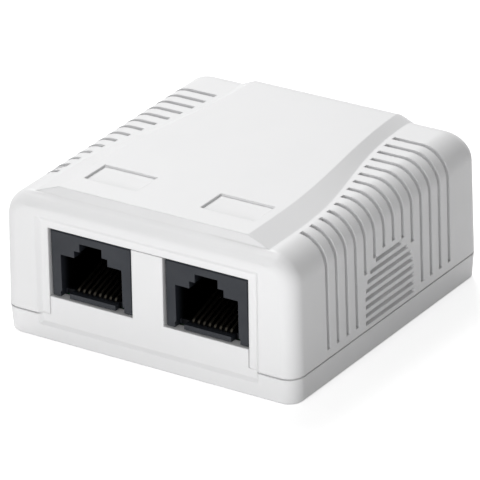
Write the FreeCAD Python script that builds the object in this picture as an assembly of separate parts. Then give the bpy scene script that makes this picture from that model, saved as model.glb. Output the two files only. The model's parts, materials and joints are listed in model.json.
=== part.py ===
"""Two-port surface mount jack box: base, clip-on cover, circuit board, jacks and punch-down blocks.

Frame: millimetres, origin at the centre of the footprint on the underside of the base, +X to the
right and +Y to the back when the ports are looked at, +Z up. Every length below is a named value;
heights are measured from the underside of the base unless a comment says otherwise.
"""
import FreeCAD, Part
import math
import os

# --- housing, overall ---------------------------------------------------------------------------
box_width = 55.4                # across the sides, at the parting line
box_depth = 56.8                # front to back, at the parting line
parting_height = 4.75           # where the cover sits on the base
cover_draft_deg = 1.0           # walls of the cover lean in towards the top
base_draft_deg = 3.0            # walls of the base lean in towards the bottom
corner_radius = 2.8             # upright corners
bottom_edge_bevel = 0.4
wall = 1.8                      # cover wall
floor_thickness = 2.0
shadow_gap_height = 0.25        # fine groove round the parting line
shadow_gap_depth = 0.5

# --- cover top ----------------------------------------------------------------------------------
shoulder_height = 25.0          # shoulder surface at the front
shoulder_slope = 0.0165         # its rise for each unit towards the back
shoulder_side_radius = 5.0
shoulder_back_radius = 4.0
shoulder_front_radius = 2.5
panel_rise = 1.45               # raised panel above the shoulders, at the front
panel_slope = 0.008
panel_inset_front = 9.9         # from the side of the box to the panel's crease, front
panel_inset_back = 13.8         # and back
crease_start = 11.4             # the crease begins to close in, from the front face
crease_end = 2.8                # and ends, from the back face
flank_width_front = 4.2         # from the crease out to the foot of the flank, front
flank_width_back = 2.4
foot_start = 12.0               # the foot begins to close in, from the front face
foot_end = 7.8                  # and ends, from the back face
panel_stations = 8              # points that shape each S-curve
roll_stations = 5
flank_overrun = 0.4             # the flanks run on below the shoulder surface
roll_overrun = 0.15             # and the panel's rounded back edge runs out through the back wall
blend_overrun = 0.03            # and the front bevel's blend runs out through the front wall
bevel_run = 2.8                 # front bevel: crease line behind the front face
bevel_drop = 2.1                # and its height down to the front face
bevel_round = 1.8
roof_thickness = 1.6            # of the cover under the shoulders
panel_roof_thickness = 1.55     # and under the raised panel
inner_bevel = 1.8               # along the top edges of the hollow
panel_pocket_inset = 0.9        # pocket under the panel, inside the crease

# --- label recesses in the raised panel -----------------------------------------------------------
label_inner_x = 6.0
label_margin = 1.7              # from the recess out to the panel's crease
label_front = 7.4               # from the front face
label_back = 13.3
label_depth = 0.35

# --- side grooves and arched break-out ------------------------------------------------------------
groove_count = 14
groove_pitch = 2.835
groove_width = 0.9
groove_depth = 0.7
groove_chords = 3               # flats along the groove's floor as it turns over the edge
groove_foot_gap = 1.43          # from the parting line up to the long grooves
groove_start_gap = 0.9          # from the foot of the panel's flank to the groove's inner end
arch_half_width = 7.35
arch_spring_height = 5.25       # above the parting line
arch_rise = 6.6
arch_side_margin = 1.7          # plain border between the arch and the grooves
arch_top_margin = 0.35
arch_line_count = 8
arch_line_pitch = 1.39
arch_line_height = 0.7
arch_first_line = 1.1           # above the parting line

# --- ports ----------------------------------------------------------------------------------------
port_width = 16.0
port_pitch = 21.86
port_seam = 0.1                 # seam between cover and base round the ports
frame_depth = 0.6               # recessed frame round both ports
frame_margin = 1.4              # flat of the frame outside the ports
frame_top_margin = 1.2          # and above them
frame_slope_run = 0.7           # sloping edge of the frame
frame_drop = 1.45               # foot of the frame below the parting line
front_wall = 2.0                # wall of the base under the ports
gusset_half_width = 1.2
gusset_depth = 6.4              # gusset behind the pillar, from the front face
gusset_gap = 2.3                # from the top of the gusset up to the top of the ports

# --- lip of the base and snaps ----------------------------------------------------------------------
lip_clearance = 0.15
lip_thickness = 1.2
lip_rise = 2.75                 # above the parting line
lip_corner = 1.0                # radius of the lip's upright corners
lip_gap_half_width = 9.0        # gap in the lip behind each break-out
snap_front = 11.4               # middle of the front snaps, from the front face
snap_back = 8.9                 # middle of the back snaps, from the back face
snap_width = 5.0
snap_arm_thickness = 1.2
snap_arm_inset = 4.2            # outer face of the snap arm, from the side of the box
snap_arm_lift = 0.45            # its lower end above the parting line
snap_barb = 0.5
snap_clearance = 0.1            # in plan, between barb and bead
snap_bead_lift = 1.75           # above the parting line
snap_bead_height = 0.8
snap_bead_slope = 0.25

# --- circuit board and its supports -------------------------------------------------------------
board_inset = 6.2               # from the side of the box
board_front = 3.4               # from the front face
board_tail = 4.8                # behind the punch-down blocks
board_lift = 4.5                # above the floor
board_thickness = 1.6
board_corner = 1.0
notch_clearance = 0.4           # round the gusset
peg_inset = 2.2                 # from the board's edge
peg_post_y = 6.5                # from the front face
peg_post_radius = 1.9
peg_radius = 1.0
peg_height = 1.3                # above the underside of the board
peg_clearance = 0.1
screw_inset = 2.5               # from the board's edge
screw_tail = 2.4                # behind the punch-down blocks
screw_post_radius = 2.6
screw_shank_radius = 1.1
screw_fit = 0.05
screw_length = 6.0
screw_head_radius = 2.1
screw_head_height = 1.5
screw_head_chamfer = 0.45
screw_recess_width = 0.7
screw_recess_reach = 1.3        # from the middle to the end of each arm
screw_recess_depth = 0.8
screw_board_clearance = 0.2
beam_thickness = 1.5            # long ribs that back the punch-down blocks
beam_overhang = 1.5             # past the blocks, front and back
access_gap = 3.0                # from the jacks to the middle of the hole over the front mounting screw
access_radius = 3.6

# --- mounting holes and cable tie anchors ---------------------------------------------------------
mount_hole_radius = 2.1
mount_hole_back = 7.2           # from the back face
tie_anchor_x = 16.0
tie_anchor_back = 6.8           # from the back face
tie_anchor_width = 6.4
tie_anchor_thickness = 2.4
tie_anchor_lean = 0.6
tie_anchor_height = 3.6         # above the floor
tie_slot_width = 3.6
tie_slot_height = 2.0

# --- jacks ------------------------------------------------------------------------------------------
jack_gap = 0.2                  # round the jack's face in its port
jack_setback = 1.1              # jack's face behind the front face of the box
jack_roof = 1.4                 # over the latch notch
mouth_width = 11.7
mouth_floor = 0.86              # above the jack's underside
mouth_height = 6.56
mouth_depth = 11.2
mouth_back_wall = 0.9
step_width = 6.4                # first step over the mouth
step_height = 1.22
latch_width = 4.27              # latch notch over the step
latch_height = 1.46
lip_notch_inner = 4.4           # notches at both ends of the bottom lip
lip_notch_outer = 6.1
lip_notch_depth = 1.6
contact_count = 8
contact_pitch = 1.02
contact_width = 0.45
contact_thickness = 0.35
contact_front = 1.9             # hairpin centre behind the jack's face
contact_run_height = 0.5        # lower run above the jack's underside
contact_hairpin_radius = 0.42
contact_angle_deg = 18.0
contact_free_length = 7.6
contact_bend_radius = 0.6
bend_flat_count = 2             # flats round the bend over the tail
hairpin_flat_count = 4          # and round the hairpin
contact_tails = (1.9, 4.1)      # alternate tails behind the front of the insert
contact_tail_drop = 2.7         # below the jack's underside
comb_slot_width = 0.64
comb_front = 1.2
comb_floor = 0.18               # thinnest floor under the comb slots
insert_length = 5.5
insert_margin = 0.35            # from the insert's side to the mouth's side
insert_height = 6.3
insert_inset = 0.9              # from its back to the back of the jack
insert_clearance = 0.1
insert_chamfer = 0.6
jack_peg_x = 5.75
jack_peg_y = 9.0
jack_peg_radius = 1.55
jack_peg_length = 2.8
jack_peg_clearance = 0.1
jack_edge_chamfer = 0.3

# --- punch-down blocks ------------------------------------------------------------------------------
block_offset = 5.45             # each block's middle from the middle of its jack
block_gap = 5.7                 # behind the jacks
block_length = 16.6
block_foot_width = 7.0
block_top_width = 4.4
block_waist_height = 6.0
block_taper_height = 1.6
block_height = 11.4
idc_count = 4                   # contacts in one block
idc_pitch = 3.9
wire_slot_width = 1.0
wire_slot_depth = 4.2
wire_lead_in_width = 2.0
wire_lead_in_depth = 1.0
idc_thickness = 0.5
idc_width = 2.4
idc_height = 9.6
idc_slit_width = 0.3
idc_slit_depth = 4.6
idc_lead_in = 0.5               # bevel at the mouth of the slit
idc_neck = 0.4                  # from the board up to the wide part
idc_tail_width = 0.7
idc_tail_drop = 2.6
idc_clearance = 0.12
tail_hole_width = 0.95          # square holes in the board for the tails of both kinds of contact

# --- cover hold-down rib ------------------------------------------------------------------------------
rib_y = 8.0                     # from the front face
rib_thickness = 1.2
rib_half_length = 15.5
rib_clearance = 0.2

# --- how pieces join and cutters reach ------------------------------------------------------------
sink = 0.5                      # a part sinks this far into what carries it
through = 1.0                   # a cut runs on this far past the face it opens
clear = 6.0                     # and this far where nothing else is near
overlap = 0.1                   # cuts that meet run into each other by this much
pin_sides = 12                  # flats round small hidden pins and their holes
match_tolerance = 1e-6          # for edges picked by where they lie

# --- values that follow from the ones above -------------------------------------------------------
half_width = box_width / 2
half_depth = box_depth / 2
cover_lean = math.tan(math.radians(cover_draft_deg))
base_lean = math.tan(math.radians(base_draft_deg))
cover_draft = math.radians(cover_draft_deg)
panel_height = shoulder_height + panel_rise
roof_height = shoulder_height - roof_thickness
panel_roof_height = panel_height - panel_roof_thickness
board_bottom = floor_thickness + board_lift
board_top = board_bottom + board_thickness
jack_height = mouth_floor + mouth_height + step_height + latch_height + jack_roof
jack_depth = mouth_depth + mouth_back_wall + insert_length + insert_inset
insert_front = mouth_depth + mouth_back_wall
insert_half_width = mouth_width / 2 - insert_margin
port_bottom = board_top - jack_gap
port_top = board_top + jack_height + jack_gap
port_edge = (port_pitch + port_width) / 2       # outer edges of the ports
pillar_half_width = (port_pitch - port_width) / 2
lip_height = parting_height + lip_rise
snap_arm_face = half_width - snap_arm_inset
board_half_width = half_width - board_inset
jack_back = jack_setback + jack_depth           # from the front face
block_front = jack_back + block_gap
block_back = block_front + block_length
lip_outer_inset = wall + lip_clearance
lip_inner_inset = lip_outer_inset + lip_thickness
jack_width = port_width - 2 * jack_gap
jack_face = -half_depth + jack_setback
above_everything = panel_height + panel_slope * box_depth + clear
Vector = FreeCAD.Vector


# --- small helpers ----------------------------------------------------------------------------------
def from_front(distance):
    """Y of a place given as its distance behind the front face."""
    return distance - half_depth


def box(x0, x1, y0, y1, z0, z1):
    """Solid box between two corners."""
    return Part.makeBox(x1 - x0, y1 - y0, z1 - z0, Vector(x0, y0, z0))


def cylinder(x, y, z0, z1, radius):
    """Upright cylinder."""
    return Part.makeCylinder(radius, z1 - z0, Vector(x, y, z0))


def pin(x, y, z0, z1, radius):
    """Small upright pin or hole, with flats round it."""
    turns = [2 * math.pi * side / pin_sides for side in range(pin_sides)]
    return prism_z([(x + radius * math.cos(turn), y + radius * math.sin(turn)) for turn in turns], z0, z1)


def polygon(points):
    """Closed wire through the points."""
    return Part.makePolygon(points + [points[0]])


def prism_x(points, x0, x1):
    """Solid from a (y, z) outline, carried from x0 to x1."""
    return Part.Face(polygon([Vector(x0, y, z) for y, z in points])).extrude(Vector(x1 - x0, 0, 0))


def prism_y(points, y0, y1):
    """Solid from an (x, z) outline, carried from y0 to y1."""
    return Part.Face(polygon([Vector(x, y0, z) for x, z in points])).extrude(Vector(0, y1 - y0, 0))


def prism_z(points, z0, z1):
    """Solid from an (x, y) outline, carried from z0 to z1."""
    return Part.Face(polygon([Vector(x, y, z0) for x, y in points])).extrude(Vector(0, 0, z1 - z0))


def rectangle(half_x, half_y, z):
    """Four corners of a rectangle about the origin at height z."""
    return [Vector(-half_x, -half_y, z), Vector(half_x, -half_y, z),
            Vector(half_x, half_y, z), Vector(-half_x, half_y, z)]


def arc_points(centre_y, centre_z, radius, start_deg, end_deg, segments):
    """Points along an arc in the (y, z) plane, both ends included."""
    turn = (end_deg - start_deg) / segments
    angles = [math.radians(start_deg + turn * step) for step in range(segments + 1)]
    return [(centre_y + radius * math.cos(angle), centre_z + radius * math.sin(angle)) for angle in angles]


def flat_sided(lower, upper):
    """Solid with flat faces between two loops of four corners."""
    faces = [Part.Face(polygon(list(reversed(lower)))), Part.Face(polygon(upper))]
    for index in range(4):
        after = (index + 1) % 4
        faces.append(Part.Face(polygon([lower[index], lower[after], upper[after], upper[index]])))
    shell = Part.makeShell(faces)
    shell.sewShape()
    return Part.makeSolid(shell)


def leaning_block(half_x, half_y, z0, z1, lean):
    """Block whose four walls lean in by lean for each unit of height."""
    rise = (z1 - z0) * lean
    return flat_sided(rectangle(half_x, half_y, z0), rectangle(half_x - rise, half_y - rise, z1))


def middle_of(edge):
    """Point halfway along an edge."""
    return edge.valueAt((edge.FirstParameter + edge.LastParameter) / 2)


def rounded(solid, radius_of):
    """Round all chosen edges at once; radius_of(edge) gives each edge's radius, or 0."""
    scratch = FreeCAD.newDocument("rounding")
    carrier = scratch.addObject("Part::Feature", "carrier")
    carrier.Shape = solid
    fillet = scratch.addObject("Part::Fillet", "fillet")
    fillet.Base = carrier
    radii = [(index, radius_of(edge)) for index, edge in enumerate(solid.Edges, 1)]
    fillet.Edges = [(index, radius, radius) for index, radius in radii if radius > 0]
    scratch.recompute()
    result = fillet.Shape.copy()
    FreeCAD.closeDocument(scratch.Name)
    return result


def is_upright(edge):
    """True for an edge that runs mostly along Z."""
    along = edge.Vertexes[-1].Point - edge.Vertexes[0].Point
    return abs(along.z) > abs(along.x) + abs(along.y)


def edges_at(shape, z):
    """All edges of a shape that lie at height z."""
    return [edge for edge in shape.Edges
            if all(abs(end.Point.z - z) < match_tolerance for end in edge.Vertexes)]


def shell_radii(floor_z, upright, side, back, front):
    """Radius chooser for a block: its upright corners, and the side, back and front top edges."""
    def radius_of(edge):
        middle = middle_of(edge)
        if is_upright(edge):
            return upright
        if middle.z < floor_z:
            return 0.0
        if abs(middle.x) > abs(middle.y):
            return side
        return back if middle.y > 0 else front
    return radius_of


def mirrored_x(shape):
    """The shape mirrored from one side of the box to the other."""
    return shape.mirror(Vector(0, 0, 0), Vector(1, 0, 0))


def both_sides(shape):
    """A piece for the right side together with its mirror image."""
    return [shape, mirrored_x(shape)]


def joined(shapes):
    """One solid from overlapping solids."""
    return shapes[0].multiFuse(shapes[1:]).removeSplitter()


def solid_of(shape):
    """The single solid of a shape, so that each file holds a plain solid."""
    return shape.Solids[0] if len(shape.Solids) == 1 else shape


def upper_rim(shape, y, low):
    """Edges of a shape's face at depth y, without the one at its foot at height low."""
    edges = [edge for edge in shape.Edges if middle_of(edge).z > low + match_tolerance]
    return [edge for edge in edges
            if all(abs(end.Point.y - y) < match_tolerance for end in edge.Vertexes)]


# --- outer form of the cover ------------------------------------------------------------------------
def shoulder_z(y):
    """Height of the shoulder surface at depth y."""
    return shoulder_height + shoulder_slope * (y + half_depth)


def panel_z(y):
    """Height of the raised panel at depth y."""
    return panel_height + panel_slope * (y + half_depth)


def eased(y, front_value, back_value, start, end):
    """Cosine ease from front_value to back_value between two distances from the front face."""
    share = min(max((y + half_depth - start) / (end - start), 0.0), 1.0)
    return (front_value + back_value) / 2 + (front_value - back_value) / 2 * math.cos(math.pi * share)


def crease_x(y):
    """Half width of the raised panel's flat top at depth y."""
    return eased(y, half_width - panel_inset_front, half_width - panel_inset_back,
                 crease_start, box_depth - crease_end)


def foot_x(y):
    """Half width at the foot of the raised panel's flanks at depth y."""
    return eased(y, half_width - panel_inset_front + flank_width_front,
                 half_width - panel_inset_back + flank_width_back, foot_start, box_depth - foot_end)


def wall_x(z):
    """Outer face of the cover's side wall at height z."""
    return half_width - (z - parting_height) * cover_lean


def front_y(z):
    """Outer face of the cover's front wall at height z."""
    return -half_depth + (z - parting_height) * cover_lean


def back_y(z):
    """Outer face of the cover's back wall at height z."""
    return half_depth - (z - parting_height) * cover_lean


def above_plane(height_at):
    """Everything above a surface that rises evenly towards the back."""
    reach = half_depth + clear
    ceiling = above_everything + clear
    outline = [(-reach, height_at(-reach)), (reach, height_at(reach)), (reach, ceiling), (-reach, ceiling)]
    return prism_x(outline, -box_width, box_width)


def shoulder_block():
    """The cover's outer block up to the shoulders, with its corners and top edges rounded."""
    block = leaning_block(half_width, half_depth, parting_height, above_everything, cover_lean)
    block = block.cut(above_plane(shoulder_z))
    return rounded(block, shell_radii(parting_height + through, corner_radius, shoulder_side_radius,
                                      shoulder_back_radius, shoulder_front_radius))


def buried_foot_x(y):
    """Half width where the flank, run on downwards, lies flank_overrun below the shoulder surface."""
    fall = (panel_z(y) - shoulder_z(y)) / (foot_x(y) - crease_x(y))
    return foot_x(y) + flank_overrun / fall


def buried_foot_z(y):
    """Height of that line."""
    return shoulder_z(y) - flank_overrun


def panel_outline(half_width_at, height_at, y0, y1):
    """Closed outline of the panel at one level: a smooth curve down each side, straight front and back."""
    stations = [y0 + (y1 - y0) * index / panel_stations for index in range(panel_stations + 1)]
    right = [Vector(half_width_at(y), y, height_at(y)) for y in stations]
    left = [Vector(-point.x, point.y, point.z) for point in reversed(right)]
    edges = []
    for side, other in ((right, left), (left, right)):
        curve = Part.BSplineCurve()
        curve.interpolate(side)
        edges += [curve.toShape(), Part.LineSegment(side[-1], other[0]).toShape()]
    return Part.Wire(edges)


def panel_roll_section(y, drop):
    """Cross-section of the panel's rounded back edge at depth y, lowered by drop."""
    crease, foot = crease_x(y), buried_foot_x(y)
    top, low = panel_z(y) - drop, buried_foot_z(y) - drop
    root = shoulder_height - 2 * shoulder_back_radius
    return polygon([Vector(-foot, y, root), Vector(-foot, y, low), Vector(-crease, y, top),
                    Vector(crease, y, top), Vector(foot, y, low), Vector(foot, y, root)])


def raised_panel():
    """The raised centre panel, in two lengths: the flat run, then the back edge that rolls over.

    Its top is flat between S-curved creases, and its flanks slope down into the shoulders.
    """
    radius = shoulder_back_radius
    roll_y = back_y(shoulder_z(half_depth) - radius) - radius
    y0 = -half_depth - through
    flat = Part.makeLoft([panel_outline(buried_foot_x, buried_foot_z, y0, roll_y),
                          panel_outline(crease_x, panel_z, y0, roll_y)], True, True)
    sections = []
    for index in range(roll_stations + 1):
        angle = math.pi / 2 * index / roll_stations
        reach = (radius + roll_overrun) * math.sin(angle)
        sections.append(panel_roll_section(roll_y + reach, radius * (1 - math.cos(angle))))
    roll = Part.makeLoft(sections, True, False)
    limits = leaning_block(half_width, half_depth, parting_height, above_everything, cover_lean)
    return [flat.common(limits), roll.common(limits)]


def front_bevel_cutter():
    """Cuts the sloping bevel from the panel's front crease down to the front face, softly blended."""
    crease = Vector(0, from_front(bevel_run), panel_z(from_front(bevel_run)))
    corner_z = crease.z - bevel_drop
    corner = Vector(0, front_y(corner_z) - blend_overrun, corner_z)
    up_bevel = (crease - corner).normalize()
    down_wall = Vector(0, -cover_lean, -1).normalize()
    turn = math.pi - up_bevel.getAngle(down_wall)
    tangent = bevel_round * math.tan(turn / 2)
    start = corner + up_bevel * tangent
    end = corner + down_wall * tangent
    bisector = (up_bevel + down_wall).normalize()
    centre = corner + bisector * (bevel_round / math.cos(turn / 2))
    middle = centre - bisector * bevel_round
    outside = -half_depth - clear
    ceiling = above_everything + clear
    edges = [Part.LineSegment(crease, start).toShape(), Part.Arc(start, middle, end).toShape()]
    rest = [end, Vector(0, outside, end.z), Vector(0, outside, ceiling),
            Vector(0, crease.y, ceiling), crease]
    edges += [Part.LineSegment(a, b).toShape() for a, b in zip(rest, rest[1:])]
    cutter = Part.Face(Part.Wire(edges)).extrude(Vector(2 * box_width, 0, 0))
    cutter.translate(Vector(-box_width, 0, 0))
    return cutter


def port_frame_cutter():
    """Cuts the shallow sloping-edged frame round both ports, into cover and base alike."""
    def outline(offset, grow):
        left = port_edge + frame_margin + grow
        low = parting_height - frame_drop - grow
        high = port_top + frame_top_margin + grow
        corners = [(-left, low), (-left, high), (left, high), (left, low)]
        return [Vector(x, front_y(z) + offset, z) for x, z in corners]
    return flat_sided(outline(-frame_depth, 2 * frame_slope_run), outline(frame_depth, 0.0))


def groove_cutter(y):
    """One groove at depth y on the right side: along the shoulder, over the edge, down the wall."""
    top = shoulder_z(y)
    centre_z = top - shoulder_side_radius
    drop = (centre_z - parting_height) * math.sin(cover_draft)
    centre_x = half_width - (shoulder_side_radius + drop) / math.cos(cover_draft)
    inner = shoulder_side_radius - groove_depth
    start_x = foot_x(y) + groove_start_gap
    turn = math.pi / 2 if start_x < centre_x else math.acos((start_x - centre_x) / inner)
    points = [(start_x, top - groove_depth)] if start_x < centre_x else []
    for step in range(groove_chords + 1):
        angle = turn + (cover_draft - turn) * step / groove_chords
        points.append((centre_x + inner * math.cos(angle), centre_z + inner * math.sin(angle)))
    foot = groove_foot(y)
    wall_x_here, wall_z = points[-1]
    points += [(wall_x_here + (wall_z - foot) * cover_lean, foot), (half_width + clear, foot),
               (half_width + clear, top + clear), (start_x, top + clear)]
    return prism_y(points, y - groove_width / 2, y + groove_width / 2)


def groove_foot(y):
    """Height at which the groove at depth y ends: low down, or just above the arch."""
    lowest = parting_height + groove_foot_gap
    reach = arch_half_width + arch_side_margin
    if abs(y) >= reach:
        return lowest
    rise = (arch_rise + arch_top_margin) * math.sqrt(1 - (y / reach) ** 2)
    return max(lowest, parting_height + arch_spring_height + rise)


def arch_line_cutters():
    """Level lines of the arched break-out on the right side, shorter towards the top of the arch."""
    cutters = []
    for index in range(arch_line_count):
        lift = arch_first_line + index * arch_line_pitch
        over = max(0.0, lift - arch_spring_height) / arch_rise
        if over >= 1.0:
            break
        half_length = arch_half_width * math.sqrt(1 - over ** 2)
        z = parting_height + lift
        cutters.append(box(wall_x(z) - groove_depth, half_width + clear, -half_length, half_length,
                           z - arch_line_height / 2, z + arch_line_height / 2))
    return cutters


def label_cutters():
    """The two shallow label recesses, parallel to the raised panel."""
    y0, y1 = from_front(label_front), from_front(label_back)
    outline = [(y0, panel_z(y0) - label_depth), (y1, panel_z(y1) - label_depth),
               (y1, above_everything), (y0, above_everything)]
    label_outer_x = half_width - panel_inset_front - label_margin
    return both_sides(prism_x(outline, label_inner_x, label_outer_x))


# --- inside of the cover ------------------------------------------------------------------------------
def cover_cavity():
    """The hollow of the cover: one block under the shoulders, and a pocket under the raised panel."""
    grow = through * cover_lean
    block = leaning_block(half_width - wall + grow, half_depth - wall + grow, parting_height - through,
                          roof_height, cover_lean)
    block = block.makeChamfer(inner_bevel, edges_at(block, roof_height))
    y0 = from_front(bevel_run + wall)
    y1 = half_depth - shoulder_back_radius - wall
    stations = [y0 + (y1 - y0) * index / panel_stations for index in range(panel_stations + 1)]
    right = [(crease_x(y) - panel_pocket_inset, y) for y in stations]
    left = [(-x, y) for x, y in reversed(right)]
    return block.fuse(prism_z(right + left, roof_height - through, panel_roof_height))


def snap_places():
    """Depths of the front and the back snaps."""
    return [from_front(snap_front), half_depth - snap_back]


def snap_arm(y):
    """Snap arm on the right side: hangs from the roof, with a barb that faces the lip of the base."""
    face, back = snap_arm_face, snap_arm_face - snap_arm_thickness
    low = parting_height + snap_arm_lift
    root = roof_height + sink
    tip = face + snap_barb
    outline = [(back, low), (face, low), (tip, low + snap_barb), (tip, low + 2 * snap_barb),
               (face, low + 2 * snap_barb), (face, root), (back, root)]
    return prism_y(outline, y - snap_width / 2, y + snap_width / 2)


def hold_down_rib():
    """Cross rib that keeps both jacks down on the board."""
    y0 = from_front(rib_y)
    return box(-rib_half_length, rib_half_length, y0, y0 + rib_thickness,
               board_top + jack_height + rib_clearance, panel_roof_height + sink)


def make_cover():
    """The clip-on cover."""
    cover = shoulder_block()
    for length in raised_panel():
        cover = cover.fuse(length)
    cover = cover.cut(front_bevel_cutter())
    cover = cover.cut(cover_cavity())
    inner_parts = [hold_down_rib()]
    for y in snap_places():
        inner_parts += both_sides(snap_arm(y))
    cover = cover.fuse(inner_parts)
    cutters = [port_frame_cutter()]
    cutters.append(box(-port_edge, port_edge, -half_depth - through, from_front(wall + through),
                       parting_height - through, port_top))
    cutters += label_cutters()
    for index in range(groove_count):
        cutters += both_sides(groove_cutter((index - (groove_count - 1) / 2) * groove_pitch))
    for cutter in arch_line_cutters():
        cutters += both_sides(cutter)
    return cover.cut(cutters)


# --- base ---------------------------------------------------------------------------------------------
def base_shell():
    """Floor and rim of the base, with the fine groove round the parting line."""
    lean_in = parting_height * base_lean
    shell = leaning_block(half_width - lean_in, half_depth - lean_in, 0.0, parting_height, -base_lean)
    shell = shell.makeFillet(corner_radius, [edge for edge in shell.Edges if is_upright(edge)])
    shell = shell.makeChamfer(bottom_edge_bevel, edges_at(shell, 0.0))
    inner = block_with_corners(half_width - lip_inner_inset, half_depth - lip_inner_inset, lip_corner,
                               floor_thickness, parting_height + through)
    shell = shell.cut(inner)
    ring = box(-box_width, box_width, -box_depth, box_depth, parting_height - shadow_gap_height,
               parting_height + through)
    core = block_with_corners(half_width - shadow_gap_depth, half_depth - shadow_gap_depth,
                              corner_radius - shadow_gap_depth, 0.0, parting_height + 2 * through)
    return shell.cut(ring.cut(core))


def block_with_corners(half_x, half_y, radius, z0, z1):
    """Straight block with rounded upright corners."""
    block = box(-half_x, half_x, -half_y, half_y, z0, z1)
    return block.makeFillet(radius, [edge for edge in block.Edges if is_upright(edge)])


def base_lip():
    """Upstanding lip inside the cover's walls, open behind the break-outs."""
    outer = block_with_corners(half_width - lip_outer_inset, half_depth - lip_outer_inset, lip_corner,
                               parting_height - through, lip_height)
    inner = block_with_corners(half_width - lip_inner_inset, half_depth - lip_inner_inset, lip_corner,
                               floor_thickness, lip_height + through)
    gap = box(-box_width, box_width, -lip_gap_half_width, lip_gap_half_width, parting_height,
              lip_height + through)
    return outer.cut([inner, gap])


def snap_bead(y):
    """Bead on the lip that the snap arm's barb sits under, on the right side."""
    root = half_width - lip_inner_inset + sink
    tip = snap_arm_face + snap_barb + snap_clearance
    low = parting_height + snap_bead_lift
    high = low + snap_bead_height
    outline = [(root, low), (tip, low + snap_bead_slope), (tip, high - snap_bead_slope), (root, high)]
    return prism_y(outline, y - snap_width / 2, y + snap_width / 2)


def front_wall_and_pillar():
    """Wall under the ports, the pillar between them and the gusset behind the pillar."""
    back = from_front(frame_depth + front_wall)
    root = parting_height - through

    def slab(z0, z1, half_x):
        outline = [(front_y(z0) + frame_depth, z0), (back, z0), (back, z1), (front_y(z1) + frame_depth, z1)]
        return prism_x(outline, -half_x, half_x)
    wall_slab = slab(root, port_bottom, port_edge - port_seam)
    pillar = slab(root, port_top - port_seam, pillar_half_width)
    gusset_front, gusset_back = back - sink, from_front(gusset_depth)
    gusset_top = port_top - gusset_gap
    gusset = prism_x([(gusset_front, floor_thickness - sink), (gusset_back, floor_thickness - sink),
                      (gusset_back, port_bottom), (back, gusset_top), (gusset_front, gusset_top)],
                     -gusset_half_width, gusset_half_width)
    return [wall_slab, pillar, gusset]


def tie_anchor():
    """Bridge for a cable tie, on the right of the floor at the back."""
    y = half_depth - tie_anchor_back
    half, slot_half = tie_anchor_width / 2, tie_slot_width / 2
    top_half = half - tie_anchor_lean
    z0, z1 = floor_thickness - sink, floor_thickness + tie_anchor_height
    body = prism_y([(tie_anchor_x - half, z0), (tie_anchor_x + half, z0), (tie_anchor_x + top_half, z1),
                    (tie_anchor_x - top_half, z1)],
                   y - tie_anchor_thickness / 2, y + tie_anchor_thickness / 2)
    slot = box(tie_anchor_x - slot_half, tie_anchor_x + slot_half, y - tie_anchor_thickness,
               y + tie_anchor_thickness, floor_thickness, floor_thickness + tie_slot_height)
    return body.cut(slot)


def screw_place():
    """X and Y of the right-hand board screw."""
    return board_half_width - screw_inset, from_front(block_back + screw_tail)


def peg_place():
    """X and Y of the right-hand locating peg under the board."""
    return board_half_width - peg_inset, from_front(peg_post_y)


def mount_places():
    """Depths of the front and the back wall-screw holes, on the centre line."""
    return [from_front(jack_back + access_gap), half_depth - mount_hole_back]


def make_base():
    """The base: everything that stays on the wall."""
    parts = [base_shell(), base_lip()] + front_wall_and_pillar()
    for y in snap_places():
        parts += both_sides(snap_bead(y))
    root = floor_thickness - sink
    peg_x, peg_y = peg_place()
    post_x, post_y = screw_place()
    beam_x = port_pitch / 2
    beam = box(beam_x - beam_thickness / 2, beam_x + beam_thickness / 2,
               from_front(block_front - beam_overhang), from_front(block_back + beam_overhang),
               root, board_bottom)
    supports = [pin(peg_x, peg_y, root, board_bottom, peg_post_radius),
                pin(peg_x, peg_y, board_bottom - sink, board_bottom + peg_height, peg_radius),
                pin(post_x, post_y, root, board_bottom, screw_post_radius), beam, tie_anchor()]
    for piece in supports:
        parts += both_sides(piece)
    base = joined(parts)
    cutters = [port_frame_cutter()]
    cutters += both_sides(pin(post_x, post_y, floor_thickness, board_bottom + through,
                              screw_shank_radius + screw_fit))
    cutters += [cylinder(0, y, -through, floor_thickness + through, mount_hole_radius)
                for y in mount_places()]
    return base.cut(cutters)


# --- circuit board --------------------------------------------------------------------------------------
def make_board():
    """The circuit board with its locating, screw, peg and tail holes."""
    y0, y1 = from_front(board_front), from_front(block_back + board_tail)
    board = box(-board_half_width, board_half_width, y0, y1, board_bottom, board_top)
    board = board.makeChamfer(board_corner, [edge for edge in board.Edges if is_upright(edge)])
    z0, z1 = board_bottom - through, board_top + through
    notch = gusset_half_width + notch_clearance
    cutters = [box(-notch, notch, y0 - through, from_front(gusset_depth + notch_clearance), z0, z1)]
    cutters.append(pin(0, mount_places()[0], z0, z1, access_radius))
    peg_x, peg_y = peg_place()
    post_x, post_y = screw_place()
    cutters += both_sides(pin(peg_x, peg_y, z0, z1, peg_radius + peg_clearance))
    cutters += both_sides(pin(post_x, post_y, z0, z1, screw_shank_radius + screw_board_clearance))
    half = tail_hole_width / 2
    for centre in (-port_pitch / 2, port_pitch / 2):
        for side in (-1, 1):
            cutters.append(pin(centre + side * jack_peg_x, jack_face + jack_peg_y, z0, z1,
                               jack_peg_radius + jack_peg_clearance))
        tails = [(centre + contact_offset(index), contact_tail_y(index)) for index in range(contact_count)]
        tails += [(x, idc_y(index)) for x in block_places(centre) for index in range(idc_count)]
        cutters += [box(x - half, x + half, y - half, y + half, z0, z1) for x, y in tails]
    return board.cut(cutters)


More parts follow.
